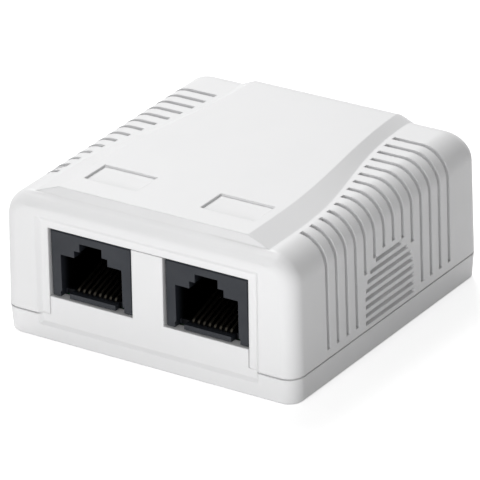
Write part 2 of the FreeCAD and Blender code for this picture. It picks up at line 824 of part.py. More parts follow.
def make_board_screws():
    """Two pan-head screws, with a cross recess in each head."""
    x, y = screw_place()
    head_top = board_top + screw_head_height
    shank = pin(x, y, board_top + sink - screw_length, board_top + sink, screw_shank_radius)
    head = pin(x, y, board_top, head_top, screw_head_radius)
    head = head.makeChamfer(screw_head_chamfer, edges_at(head, head_top))
    thin = screw_recess_width / 2
    z0, z1 = head_top - screw_recess_depth, head_top + through
    cross = [box(x - screw_recess_reach, x + screw_recess_reach, y - thin, y + thin, z0, z1),
             box(x - thin, x + thin, y - screw_recess_reach, y + screw_recess_reach, z0, z1)]
    return Part.makeCompound(both_sides(solid_of(head.fuse(shank).cut(cross))))


# --- jacks ----------------------------------------------------------------------------------------------
def contact_offset(index):
    """Sideways place of a contact wire in its jack."""
    return (index - (contact_count - 1) / 2) * contact_pitch


def contact_tail_y(index):
    """Depth of a contact wire's tail, in one of two rows by turns."""
    return jack_face + insert_front + contact_tails[index % 2]


def mouth_outline(floor):
    """Stepped outline of a jack's mouth over its floor height, latch notch on top."""
    half_mouth, half_step, half_latch = mouth_width / 2, step_width / 2, latch_width / 2
    shoulder = floor + mouth_height
    step = shoulder + step_height
    latch = step + latch_height
    right = [(half_mouth, floor), (half_mouth, shoulder), (half_step, shoulder), (half_step, step),
             (half_latch, step), (half_latch, latch)]
    return right + [(-x, z) for x, z in reversed(right)]


def make_jack_housing(centre):
    """Moulded body of one jack: stepped mouth, latch notch, contact comb, insert pocket and pegs."""
    low, high = board_top, board_top + jack_height
    half = jack_width / 2
    face, back = jack_face, jack_face + jack_depth
    before = face - through
    body = box(-half, half, face, back, low, high)
    body = body.makeChamfer(jack_edge_chamfer, upper_rim(body, face, low))
    pegs = [pin(side * jack_peg_x, face + jack_peg_y, low - jack_peg_length, low + sink, jack_peg_radius)
            for side in (-1, 1)]
    body = body.fuse(pegs)
    floor = low + mouth_floor
    cutters = [prism_y(mouth_outline(floor), before, face + mouth_depth)]
    cutters += both_sides(box(lip_notch_inner, lip_notch_outer, before, face + lip_notch_depth,
                              low - through, floor + overlap))
    slot_half = comb_slot_width / 2
    for index in range(contact_count):
        x = contact_offset(index)
        cutters.append(box(x - slot_half, x + slot_half, face + comb_front, face + insert_front,
                           low + comb_floor, floor + overlap))
    pocket_half = insert_half_width + insert_clearance
    cutters.append(box(-pocket_half, pocket_half, face + insert_front - insert_clearance, back + through,
                       low - through, low + insert_height + insert_clearance))
    housing = body.cut(cutters)
    housing.translate(Vector(centre, 0, 0))
    return housing


def make_contact_insert(centre):
    """Comb at the back of a jack: holds the contact wires and guides their tails into the board."""
    low = board_top
    y0 = jack_face + insert_front
    y1 = y0 + insert_length
    insert = box(-insert_half_width, insert_half_width, y0, y1, low, low + insert_height)
    insert = insert.makeChamfer(insert_chamfer, upper_rim(insert, y1, low))
    slot_half = comb_slot_width / 2
    cutters = []
    for index in range(contact_count):
        x = contact_offset(index)
        cutters.append(box(x - slot_half, x + slot_half, y0 - through,
                           contact_tail_y(index) + contact_thickness, low - through, low + mouth_floor))
    insert = insert.cut(cutters)
    insert.translate(Vector(centre, 0, 0))
    return insert


def make_contact_wire(centre, index):
    """One spring contact: tail up out of the board, forward along the comb, hairpin, free end rising back."""
    half = contact_thickness / 2
    run_z = board_top + contact_run_height
    tail_y = contact_tail_y(index)
    pin_y = jack_face + contact_front
    rise = math.radians(contact_angle_deg)
    forward, upward = contact_free_length * math.cos(rise), contact_free_length * math.sin(rise)

    def side(offset):
        """One edge of the strip's side view, at offset from its middle line."""
        bend, hairpin = contact_bend_radius + offset, contact_hairpin_radius - offset
        points = [(tail_y + offset, board_top - contact_tail_drop)]
        points += arc_points(tail_y - contact_bend_radius, run_z - contact_bend_radius, bend, 0, 90,
                             bend_flat_count)
        points += arc_points(pin_y, run_z + contact_hairpin_radius, hairpin, 270, 90 + contact_angle_deg,
                             hairpin_flat_count)
        last_y, last_z = points[-1]
        points.append((last_y + forward, last_z + upward))
        return points
    x = centre + contact_offset(index)
    return prism_x(side(half) + side(-half)[::-1], x - contact_width / 2, x + contact_width / 2)


# --- punch-down blocks ----------------------------------------------------------------------------------
def block_places(centre):
    """Middles of the outer and the inner block that belong to the jack at centre."""
    side = 1 if centre > 0 else -1
    return [centre + side * block_offset, centre - side * block_offset]


def idc_y(index):
    """Depth of a forked contact in its block."""
    middle = from_front(block_front + block_length / 2)
    return middle + (index - (idc_count - 1) / 2) * idc_pitch


def make_punchdown_block(x):
    """Four-way block: waisted section, a wire slot with lead-in over each forked contact."""
    low = board_top
    foot, top = block_foot_width / 2, block_top_width / 2
    waist, high = low + block_waist_height, low + block_height
    taper = waist + block_taper_height
    right = [(foot, low), (foot, waist), (top, taper), (top, high)]
    y0 = from_front(block_front)
    block = prism_y(right + [(-across, z) for across, z in reversed(right)], y0, y0 + block_length)
    slot, lead = wire_slot_width / 2, wire_lead_in_width / 2
    slot_floor, lead_floor = high - wire_slot_depth, high - wire_lead_in_depth
    pocket_x, pocket_y = idc_thickness / 2 + idc_clearance, idc_width / 2 + idc_clearance
    cutters = []
    for index in range(idc_count):
        y = idc_y(index)
        cutters.append(prism_x([(y - slot, slot_floor), (y + slot, slot_floor), (y + slot, lead_floor),
                                (y + lead, high), (y - lead, high), (y - slot, lead_floor)], -foot, foot))
        cutters.append(box(-pocket_x, pocket_x, y - pocket_y, y + pocket_y, low - through,
                           low + idc_height + idc_clearance))
    block = block.cut(cutters)
    block.translate(Vector(x, 0, 0))
    return block


def make_idc_contact(x, index):
    """Forked contact: plate with a slit for the wire and a tail through the board."""
    half, slit, tail = idc_width / 2, idc_slit_width / 2, idc_tail_width / 2
    low, high = board_top, board_top + idc_height
    neck = low + idc_neck
    right = [(tail, low - idc_tail_drop), (tail, neck), (half, neck), (half, high),
             (slit + idc_lead_in, high), (slit, high - idc_lead_in), (slit, high - idc_slit_depth)]
    y = idc_y(index)
    outline = [(y + across, z) for across, z in right] + [(y - across, z) for across, z in reversed(right)]
    return prism_x(outline, x - idc_thickness / 2, x + idc_thickness / 2)


# --- write every piece ----------------------------------------------------------------------------------
def make_pieces():
    """All pieces by name."""
    pieces = {"base": make_base(), "cover": make_cover(), "circuit_board": make_board(),
              "board_screws": make_board_screws()}
    for side_name, side in (("left", -1), ("right", 1)):
        centre = side * port_pitch / 2
        pieces[side_name + "_jack_housing"] = make_jack_housing(centre)
        pieces[side_name + "_contact_insert"] = make_contact_insert(centre)
        for index in range(contact_count):
            pieces["%s_contact_%d" % (side_name, index + 1)] = make_contact_wire(centre, index)
        for number, (block_name, x) in enumerate(zip(("outer", "inner"), block_places(centre))):
            pieces["%s_%s_block" % (side_name, block_name)] = make_punchdown_block(x)
            for index in range(idc_count):
                name = "%s_idc_%d" % (side_name, number * idc_count + index + 1)
                pieces[name] = make_idc_contact(x, index)
    return pieces


os.makedirs("parts", exist_ok=True)
for name, shape in make_pieces().items():
    solid_of(shape).exportStep("parts/" + name + ".step")
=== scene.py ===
"""Two-port surface mount jack box: finishes, spring contacts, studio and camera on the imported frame.

Everything is in metres in the frame of the construction model: the origin lies at the centre of the
footprint on the underside of the base, +X to the right, +Y to the back, +Z up.
"""
import json
import logging
import math
from dataclasses import dataclass
from enum import Enum
from functools import cache
from typing import Dict, List, Optional, Sequence, Tuple, Union

import bmesh
import bpy
import numpy as np
from mathutils import Matrix, Vector


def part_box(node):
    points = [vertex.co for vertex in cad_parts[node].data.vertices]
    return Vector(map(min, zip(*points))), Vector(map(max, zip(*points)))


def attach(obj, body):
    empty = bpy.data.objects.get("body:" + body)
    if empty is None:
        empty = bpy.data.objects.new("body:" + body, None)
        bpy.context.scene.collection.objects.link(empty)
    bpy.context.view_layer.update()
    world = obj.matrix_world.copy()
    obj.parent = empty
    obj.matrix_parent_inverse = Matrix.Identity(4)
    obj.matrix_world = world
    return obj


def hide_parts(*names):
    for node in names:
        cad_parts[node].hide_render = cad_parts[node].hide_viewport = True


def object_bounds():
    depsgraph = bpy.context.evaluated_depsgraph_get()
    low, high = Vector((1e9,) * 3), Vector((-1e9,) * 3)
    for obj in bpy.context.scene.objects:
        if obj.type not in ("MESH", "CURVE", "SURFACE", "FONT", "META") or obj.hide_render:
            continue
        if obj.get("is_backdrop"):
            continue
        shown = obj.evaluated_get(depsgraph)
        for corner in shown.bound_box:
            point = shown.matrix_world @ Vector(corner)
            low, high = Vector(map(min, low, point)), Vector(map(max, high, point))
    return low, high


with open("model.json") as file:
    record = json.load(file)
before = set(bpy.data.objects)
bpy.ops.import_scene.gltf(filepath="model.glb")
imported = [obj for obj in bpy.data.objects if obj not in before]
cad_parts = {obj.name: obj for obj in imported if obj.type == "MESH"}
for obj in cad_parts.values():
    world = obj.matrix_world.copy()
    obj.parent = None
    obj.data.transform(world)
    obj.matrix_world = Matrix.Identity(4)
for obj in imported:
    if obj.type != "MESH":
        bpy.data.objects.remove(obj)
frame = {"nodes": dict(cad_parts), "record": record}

LOG = logging.getLogger("jack_box")
MM = 0.001
SHARP_EDGE_DEG = 50.0
Colour = Tuple[float, float, float]
SocketValues = Dict[str, Union[float, Tuple[float, ...]]]


class Side(Enum):
    """The two ports, by where they lie when looked at."""

    LEFT = "left"
    RIGHT = "right"


class Body(Enum):
    """The rigid bodies that pieces ride on."""

    BASE = "base_body"
    COVER = "cover_body"


# --- shader nodes -----------------------------------------------------------------------------------
def add_node(tree: bpy.types.NodeTree, kind: str, values: Optional[SocketValues] = None,
             **settings: object) -> bpy.types.ShaderNode:
    """Add a shader node with its settings and the values of its inputs.

    Args:
        tree: the node tree that gets it.
        kind: type of the node, without the ShaderNode that each type's name starts with.
        values: value by input name, for inputs that differ from the default.
        settings: attributes of the node, such as operation or data_type.

    Returns:
        The new node.
    """
    node = tree.nodes.new("ShaderNode" + kind)
    for label, setting in settings.items():
        setattr(node, label, setting)
    for label, value in (values or {}).items():
        node.inputs[label].default_value = value
    return node


def compute(tree: bpy.types.NodeTree, operation: str,
            *sources: Union[bpy.types.NodeSocket, float]) -> bpy.types.NodeSocket:
    """Add a Math node.

    Args:
        tree: the node tree that gets it.
        operation: what the node does.
        sources: a socket or a number for each of its inputs.

    Returns:
        The socket that holds the result.
    """
    node = add_node(tree, "Math", operation=operation)
    for socket, source in zip(node.inputs, sources):
        if isinstance(source, bpy.types.NodeSocket):
            tree.links.new(source, socket)
        else:
            socket.default_value = source
    return node.outputs[0]


def mix_colours(tree: bpy.types.NodeTree, share: bpy.types.NodeSocket,
                first: Union[bpy.types.NodeSocket, Colour],
                second: Union[bpy.types.NodeSocket, Colour]) -> bpy.types.NodeSocket:
    """Blend two colours.

    Args:
        tree: the node tree that gets the blend.
        share: share of the second colour.
        first: socket or colour where the share is nought.
        second: socket or colour where the share is one.

    Returns:
        The socket that holds the blended colour.
    """
    node = add_node(tree, "Mix", data_type="RGBA")
    tree.links.new(share, node.inputs["Factor"])
    for label, colour in (("A", first), ("B", second)):
        if isinstance(colour, bpy.types.NodeSocket):
            tree.links.new(colour, node.inputs[label])
        else:
            node.inputs[label].default_value = (*colour, 1.0)
    return node.outputs["Result"]


def vary_gloss(tree: bpy.types.NodeTree, tone: bpy.types.NodeSocket, tones: Tuple[float, float],
               roughness: Tuple[float, float]) -> bpy.types.NodeSocket:
    """Turn a tone into a roughness that changes evenly with it.

    Args:
        tree: the node tree that gets the step.
        tone: the tone.
        tones: lowest and highest tone.
        roughness: roughness at the lowest and the highest tone.

    Returns:
        The socket that holds the roughness.
    """
    spread = add_node(tree, "MapRange", {"From Min": tones[0], "From Max": tones[1],
                                         "To Min": roughness[0], "To Max": roughness[1]})
    tree.links.new(tone, spread.inputs["Value"])
    return spread.outputs["Result"]


def place_group(material: bpy.types.Material, group: bpy.types.NodeTree,
                values: Optional[SocketValues] = None) -> bpy.types.ShaderNode:
    """Put a node group in a material, with the material's own values.

    Args:
        material: the material that gets it.
        group: the group to place.
        values: value by input name.

    Returns:
        The new group node.
    """
    return add_node(material.node_tree, "Group", values, node_tree=group)


def new_material(name: str) -> Tuple[bpy.types.Material, bpy.types.ShaderNode, bpy.types.NodeSocket]:
    """Make a material with its Principled shader and object coordinates.

    Args:
        name: name of the material.

    Returns:
        (material, Principled node, socket of the Object coordinates).
    """
    material = bpy.data.materials.new(name)
    material.use_nodes = True
    shader = material.node_tree.nodes["Principled BSDF"]
    return material, shader, add_node(material.node_tree, "TexCoord").outputs["Object"]


# --- effects that several finishes share ----------------------------------------------------------
class EffectLibrary:
    """Shader node groups, each built once and placed in materials with its own values."""

    COARSE_SHARE = 0.035
    FINE_WEIGHT = 0.8

    @staticmethod
    def _empty_group(name: str, inputs: Sequence[Tuple[str, str, float]], outputs: Sequence[Tuple[str, str]]
                     ) -> Tuple[bpy.types.NodeTree, bpy.types.NodeOutputs, bpy.types.NodeInputs]:
        """Make a group with its sockets and the two end nodes.

        Args:
            name: name of the group.
            inputs: (socket name, socket type, default) for each input; only a float's default is used.
            outputs: (socket name, socket type) for each output.

        Returns:
            (the new node group, the sockets it is given, the sockets it puts out).
        """
        tree = bpy.data.node_groups.new(name, "ShaderNodeTree")
        for label, kind, default in inputs:
            socket = tree.interface.new_socket(name=label, in_out="INPUT", socket_type=kind)
            if kind == "NodeSocketFloat":
                socket.default_value = default
        for label, kind in outputs:
            tree.interface.new_socket(name=label, in_out="OUTPUT", socket_type=kind)
        given = tree.nodes.new("NodeGroupInput").outputs
        return tree, given, tree.nodes.new("NodeGroupOutput").inputs

    @cache
    def moulded_grain(self) -> bpy.types.NodeTree:
        """Fine spark-eroded grain of a moulded face: two sizes of noise added together.

        Returns:
            Group with inputs Position and Grains per metre; outputs Height and Tone.
        """
        tree, given, made = self._empty_group(
            "moulded grain",
            [("Position", "NodeSocketVector", 0.0), ("Grains per metre", "NodeSocketFloat", 6000.0)],
            [("Height", "NodeSocketFloat"), ("Tone", "NodeSocketFloat")])
        fine = add_node(tree, "TexNoise", {"Detail": 2.0, "Roughness": 0.6})
        coarse = add_node(tree, "TexNoise", {"Detail": 3.0})
        fewer = compute(tree, "MULTIPLY", given["Grains per metre"], self.COARSE_SHARE)
        for noise, scale in ((fine, given["Grains per metre"]), (coarse, fewer)):
            tree.links.new(given["Position"], noise.inputs["Vector"])
            tree.links.new(scale, noise.inputs["Scale"])
        height = compute(tree, "MULTIPLY_ADD", fine.outputs["Fac"], self.FINE_WEIGHT, coarse.outputs["Fac"])
        tree.links.new(height, made["Height"])
        tree.links.new(coarse.outputs["Fac"], made["Tone"])
        return tree

    @cache
    def edge_softener(self) -> bpy.types.NodeTree:
        """Rounds sharp edges in the shading and marks them, as a mould's small radii do.

        The mark is one less the cosine between the rounded and the flat normal, raised to stand out.

        Returns:
            Group with input Radius; outputs Normal and Edge.
        """
        tree, given, made = self._empty_group(
            "edge softener", [("Radius", "NodeSocketFloat", 0.0002)],
            [("Normal", "NodeSocketVector"), ("Edge", "NodeSocketFloat")])
        bevel = add_node(tree, "Bevel", samples=6)
        flat = add_node(tree, "NewGeometry")
        agree = add_node(tree, "VectorMath", operation="DOT_PRODUCT")
        mark = add_node(tree, "MapRange", {"From Min": 1.0, "From Max": 0.75})
        tree.links.new(given["Radius"], bevel.inputs["Radius"])
        tree.links.new(bevel.outputs["Normal"], agree.inputs[0])
        tree.links.new(flat.outputs["Normal"], agree.inputs[1])
        tree.links.new(agree.outputs["Value"], mark.inputs["Value"])
        tree.links.new(bevel.outputs["Normal"], made["Normal"])
        tree.links.new(mark.outputs["Result"], made["Edge"])
        return tree

    @cache
    def tone_drift(self) -> bpy.types.NodeTree:
        """Slow change of colour between two tones, as resin and handling leave it.

        Returns:
            Group with inputs Position, Spots per metre, Light and Dark; outputs Colour and Mask.
        """
        tree, given, made = self._empty_group(
            "tone drift",
            [("Position", "NodeSocketVector", 0.0), ("Spots per metre", "NodeSocketFloat", 60.0),
             ("Light", "NodeSocketColor", 0.0), ("Dark", "NodeSocketColor", 0.0)],
            [("Colour", "NodeSocketColor"), ("Mask", "NodeSocketFloat")])
        noise = add_node(tree, "TexNoise", {"Detail": 4.0})
        spread = add_node(tree, "MapRange", {"From Min": 0.3, "From Max": 0.7})
        tree.links.new(given["Position"], noise.inputs["Vector"])
        tree.links.new(given["Spots per metre"], noise.inputs["Scale"])
        tree.links.new(noise.outputs["Fac"], spread.inputs["Value"])
        colour = mix_colours(tree, spread.outputs["Result"], given["Light"], given["Dark"])
        tree.links.new(colour, made["Colour"])
        tree.links.new(spread.outputs["Result"], made["Mask"])
        return tree

    @cache
    def mouth_shade_mask(self) -> bpy.types.NodeTree:
        """Mask of the painted shade inside the two mouths, which lie mirrored either side of X = 0.

        It is the product of three parts: a smooth step in Y from Start to End, one where the distance of
        |X| from Middle is under Half width, and one where Z is under Ceiling.

        Returns:
            Group with inputs Position, Start, End, Middle, Half width and Ceiling; output Mask.
        """
        sizes = [(label, "NodeSocketFloat", 0.001)
                 for label in ("Start", "End", "Middle", "Half width", "Ceiling")]
        tree, given, made = self._empty_group(
            "mouth shade mask", [("Position", "NodeSocketVector", 0.0)] + sizes, [("Mask", "NodeSocketFloat")])
        split = add_node(tree, "SeparateXYZ")
        tree.links.new(given["Position"], split.inputs["Vector"])
        deep = add_node(tree, "MapRange", interpolation_type="SMOOTHSTEP")
        tree.links.new(split.outputs["Y"], deep.inputs["Value"])
        tree.links.new(given["Start"], deep.inputs["From Min"])
        tree.links.new(given["End"], deep.inputs["From Max"])
        out = compute(tree, "SUBTRACT", compute(tree, "ABSOLUTE", split.outputs["X"]), given["Middle"])
        beside = compute(tree, "LESS_THAN", compute(tree, "ABSOLUTE", out), given["Half width"])
        below = compute(tree, "LESS_THAN", split.outputs["Z"], given["Ceiling"])
        inside = compute(tree, "MULTIPLY", beside, below)
        tree.links.new(compute(tree, "MULTIPLY", deep.outputs["Result"], inside), made["Mask"])
        return tree


EFFECTS = EffectLibrary()


# --- finishes ---------------------------------------------------------------------------------------
@dataclass(frozen=True)
class PaintedMouthShade:
    """Where a jack's plastic is painted with the shade inside its mouth, counted from the jack's front and
    top.
    """

    jack: str = "right_jack_housing"
    start: float = 0.2 * MM
    end: float = 2.6 * MM
    half_width: float = 5.95 * MM
    ceiling: float = 1.3 * MM
    # near-darkness painted as the shade inside the mouth
    shade_colour: Colour = (0.002, 0.002, 0.0024)

    def mask(self, material: bpy.types.Material, here: bpy.types.NodeSocket) -> bpy.types.NodeSocket:
        """Put the mask of the mouths' painted shade in a material.

        Args:
            material: the material that gets it.
            here: socket of the Object coordinates.

        Returns:
            The socket that holds the mask.
        """
        low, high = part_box(self.jack)
        node = place_group(material, EFFECTS.mouth_shade_mask(), {
            "Start": low.y + self.start, "End": low.y + self.end, "Middle": (low.x + high.x) / 2,
            "Half width": self.half_width, "Ceiling": high.z - self.ceiling})
        material.node_tree.links.new(here, node.inputs["Position"])
        return node.outputs["Mask"]


@dataclass(frozen=True)
class MouldedPlastic:
    """A moulded plastic: its tones, gloss, grain and the radius of its small edges."""

    name: str
    light: Colour
    dark: Colour
    edge: Colour
    roughness: float
    roughness_spread: float
    grains_per_metre: float
    grain_depth: float
    edge_radius: float
    gloss_level: float = 0.5
    mouth: Optional[PaintedMouthShade] = None

    def make(self) -> bpy.types.Material:
        """Build the material.

        Inside a mouth the colour is painted shade, shaded as a metal of that colour, which has almost no
        sheen.

        Returns:
            Material whose colour drifts slowly, pales along edges and carries a fine grain.
        """
        material, shader, here = new_material(self.name)
        tree, links = material.node_tree, material.node_tree.links
        grain = place_group(material, EFFECTS.moulded_grain(), {"Grains per metre": self.grains_per_metre})
        drift = place_group(material, EFFECTS.tone_drift(),
                            {"Light": (*self.light, 1.0), "Dark": (*self.dark, 1.0)})
        softener = place_group(material, EFFECTS.edge_softener(), {"Radius": self.edge_radius})
        links.new(here, grain.inputs["Position"])
        links.new(here, drift.inputs["Position"])
        # the colour turns paler along the softened edges, by as much as the tone drift's mask
        pale_edge_share = compute(tree, "MULTIPLY", softener.outputs["Edge"], drift.outputs["Mask"])
        colour = mix_colours(tree, pale_edge_share, drift.outputs["Colour"], self.edge)
        if self.mouth is not None:
            # painted shade: inside the mouth the colour goes to near-darkness and the surface to metal,
            # which keeps almost no sheen
            mask = self.mouth.mask(material, here)
            colour = mix_colours(tree, mask, colour, self.mouth.shade_colour)
            links.new(mask, shader.inputs["Metallic"])
        links.new(colour, shader.inputs["Base Color"])
        shader.inputs["Specular IOR Level"].default_value = self.gloss_level
        gloss = vary_gloss(tree, grain.outputs["Tone"], (0.3, 0.7),
                           (self.roughness - self.roughness_spread, self.roughness + self.roughness_spread))
        links.new(gloss, shader.inputs["Roughness"])
        bump = add_node(tree, "Bump", {"Distance": self.grain_depth})
        links.new(grain.outputs["Height"], bump.inputs["Height"])
        links.new(softener.outputs["Normal"], bump.inputs["Normal"])
        links.new(bump.outputs["Normal"], shader.inputs["Normal"])
        return material


@dataclass(frozen=True)
class PlatedMetal:
    """A thin plated metal part, lightly brushed along its length."""

    name: str
    light: Colour
    dark: Colour
    roughness: float
    brush_scale: Tuple[float, float, float]
    brush_depth: float
    edge_radius: float
    roughness_share: float = 0.3
    grains_per_metre: float = 5000.0
    spots_per_metre: float = 700.0

    def make(self) -> bpy.types.Material:
        """Build the material.

        Returns:
            Metal whose fine streaks run along the axis with the smallest brush scale.
        """
        material, shader, here = new_material(self.name)
        tree, links = material.node_tree, material.node_tree.links
        stretch = add_node(tree, "Mapping", {"Scale": self.brush_scale})
        grain = place_group(material, EFFECTS.moulded_grain(), {"Grains per metre": self.grains_per_metre})
        drift = place_group(material, EFFECTS.tone_drift(),
                            {"Spots per metre": self.spots_per_metre, "Light": (*self.light, 1.0),
                             "Dark": (*self.dark, 1.0)})
        softener = place_group(material, EFFECTS.edge_softener(), {"Radius": self.edge_radius})
        links.new(here, stretch.inputs["Vector"])
        links.new(stretch.outputs["Vector"], grain.inputs["Position"])
        links.new(here, drift.inputs["Position"])
        links.new(drift.outputs["Colour"], shader.inputs["Base Color"])
        shader.inputs["Metallic"].default_value = 1.0
        gloss = vary_gloss(tree, grain.outputs["Tone"], (0.0, 1.0),
                           (self.roughness * (1.0 - self.roughness_share),
                            self.roughness * (1.0 + self.roughness_share)))
        links.new(gloss, shader.inputs["Roughness"])
        bump = add_node(tree, "Bump", {"Distance": self.brush_depth})
        links.new(grain.outputs["Height"], bump.inputs["Height"])
        links.new(softener.outputs["Normal"], bump.inputs["Normal"])
        links.new(bump.outputs["Normal"], shader.inputs["Normal"])
        return material


@dataclass(frozen=True)
class SolderMaskedBoard:
    """Glass laminate under green solder mask, with tracks that show through as paler lines."""

    name: str
    mask: Colour
    track: Colour
    tracks_per_metre: float
    track_height: float
    roughness: Tuple[float, float] = (0.2, 0.36)
    grains_per_metre: float = 2500.0

    def make(self) -> bpy.types.Material:
        """Build the material.

        Returns:
            Green mask whose tracks are the bright bands of a bent wave pattern, slightly raised.
        """
        material, shader, here = new_material(self.name)
        tree, links = material.node_tree, material.node_tree.links
        wave = add_node(tree, "TexWave", {"Scale": self.tracks_per_metre, "Distortion": 2.5,
                                          "Detail": 0.0, "Detail Scale": 0.4})
        line = add_node(tree, "MapRange", {"From Min": 0.72, "From Max": 0.8})
        grain = place_group(material, EFFECTS.moulded_grain(), {"Grains per metre": self.grains_per_metre})
        links.new(here, wave.inputs["Vector"])
        links.new(here, grain.inputs["Position"])
        links.new(wave.outputs["Fac"], line.inputs["Value"])
        colour = mix_colours(tree, line.outputs["Result"], self.mask, self.track)
        links.new(colour, shader.inputs["Base Color"])
        links.new(vary_gloss(tree, grain.outputs["Tone"], (0.0, 1.0), self.roughness),
                  shader.inputs["Roughness"])
        bump = add_node(tree, "Bump", {"Distance": self.track_height})
        links.new(line.outputs["Result"], bump.inputs["Height"])
        links.new(bump.outputs["Normal"], shader.inputs["Normal"])
        return material


class FinishBook:
    """Every finish of the box, built once and looked up by the record's slot name."""

    def __init__(self) -> None:
        """List the finishes; none is built until it is asked for."""
        white = dict(light=(0.80, 0.80, 0.805), dark=(0.785, 0.785, 0.79), edge=(0.82, 0.82, 0.825),
                     roughness=0.45, roughness_spread=0.05, grains_per_metre=9000.0,
                     grain_depth=0.006 * MM, edge_radius=0.32 * MM)
        self._recipes = {
            "cover_plastic": MouldedPlastic(name="white_cover_plastic", **white),
            "base_plastic": MouldedPlastic(name="white_base_plastic", **white),
            "jack_plastic": MouldedPlastic(
                name="black_jack_plastic", light=(0.017, 0.020, 0.026), dark=(0.013, 0.015, 0.020),
                edge=(0.03, 0.034, 0.042), gloss_level=0.38, roughness=0.5, roughness_spread=0.08,
                grains_per_metre=7000.0, grain_depth=0.01 * MM, edge_radius=0.1 * MM, mouth=PaintedMouthShade()),
            "insert_plastic": MouldedPlastic(
                name="black_insert_plastic", light=(0.012, 0.012, 0.013), dark=(0.008, 0.008, 0.009),
                edge=(0.03, 0.03, 0.033), roughness=0.55, roughness_spread=0.08,
                grains_per_metre=7000.0, grain_depth=0.01 * MM, edge_radius=0.1 * MM),
            "block_plastic": MouldedPlastic(
                name="natural_block_plastic", light=(0.76, 0.75, 0.71), dark=(0.72, 0.71, 0.67),
                edge=(0.8, 0.79, 0.76), roughness=0.36, roughness_spread=0.06,
                grains_per_metre=6000.0, grain_depth=0.008 * MM, edge_radius=0.12 * MM),
            "board_laminate": SolderMaskedBoard(
                name="green_board", mask=(0.018, 0.115, 0.045), track=(0.05, 0.24, 0.09),
                tracks_per_metre=140.0, track_height=0.04 * MM),
            "screw_steel": PlatedMetal(
                name="zinc_plated_steel", light=(0.62, 0.62, 0.63), dark=(0.5, 0.5, 0.52), roughness=0.32,
                brush_scale=(1.0, 1.0, 0.2), brush_depth=0.005 * MM, edge_radius=0.08 * MM),
            "contact_gold": PlatedMetal(
                # the gold is painted far darker than gold flash, as the shade it lies in inside the mouth
                name="gold_contact_painted_shade", light=(0.055, 0.050, 0.041), dark=(0.040, 0.036, 0.029),
                roughness=0.42, brush_scale=(1.0, 0.15, 0.15), brush_depth=0.002 * MM,
                edge_radius=0.04 * MM),
            "idc_tinned": PlatedMetal(
                name="tinned_contact", light=(0.74, 0.74, 0.72), dark=(0.62, 0.62, 0.60), roughness=0.38,
                brush_scale=(1.0, 1.0, 0.15), brush_depth=0.005 * MM, edge_radius=0.04 * MM),
        }

    @cache
    def of(self, slot: str) -> bpy.types.Material:
        """The material for one slot.

        Args:
            slot: name of the slot in the record.

        Returns:
            The material, built on first use.
        """
        return self._recipes[slot].make()


# --- meshes -------------------------------------------------------------------------------------------
def link_mesh(name: str, points: np.ndarray, faces: np.ndarray) -> bpy.types.Object:
    """Make an object from whole arrays of points and faces.

    Args:
        name: name of the object and its mesh.
        points: (n, 3) coordinates in metres.
        faces: (m, k) corner indices, all faces with k corners.

    Returns:
        The object, at the origin and in the scene.
    """
    mesh = bpy.data.meshes.new(name)
    mesh.from_pydata(points.tolist(), [], faces.tolist())
    mesh.update()
    piece = bpy.data.objects.new(name, mesh)
    bpy.context.scene.collection.objects.link(piece)
    return piece


def ring_corners(count: int, around: int) -> Tuple[np.ndarray, np.ndarray, np.ndarray, np.ndarray]:
    """Corner numbers of the four-sided faces between neighbouring rings of points.

    Step j of ring i is point i times around plus j. A face's corners are a at (i, j), b at (i, j + 1),
    c at (i + 1, j + 1) and d at (i + 1, j), and the step after the last is the first.

    Args:
        count: number of rings.
        around: number of points in a ring.

    Returns:
        (a, b, c, d), each with one number for every face.
    """
    ring, step = np.meshgrid(np.arange(count - 1), np.arange(around), indexing="ij")
    ring, step = ring.reshape(-1), step.reshape(-1)
    after = (step + 1) % around
    return (ring * around + step, ring * around + after, (ring + 1) * around + after,
            (ring + 1) * around + step)


def shade_smooth(piece: bpy.types.Object) -> None:
    """Shade every face smooth.

    Args:
        piece: the object to shade.
    """
    piece.data.polygons.foreach_set("use_smooth", np.ones(len(piece.data.polygons), dtype=bool))


def dress(piece: bpy.types.Object, material: bpy.types.Material) -> None:
    """Give the whole piece one material.

    Args:
        piece: the object to dress.
        material: its material.
    """
    piece.data.materials.clear()
    piece.data.materials.append(material)


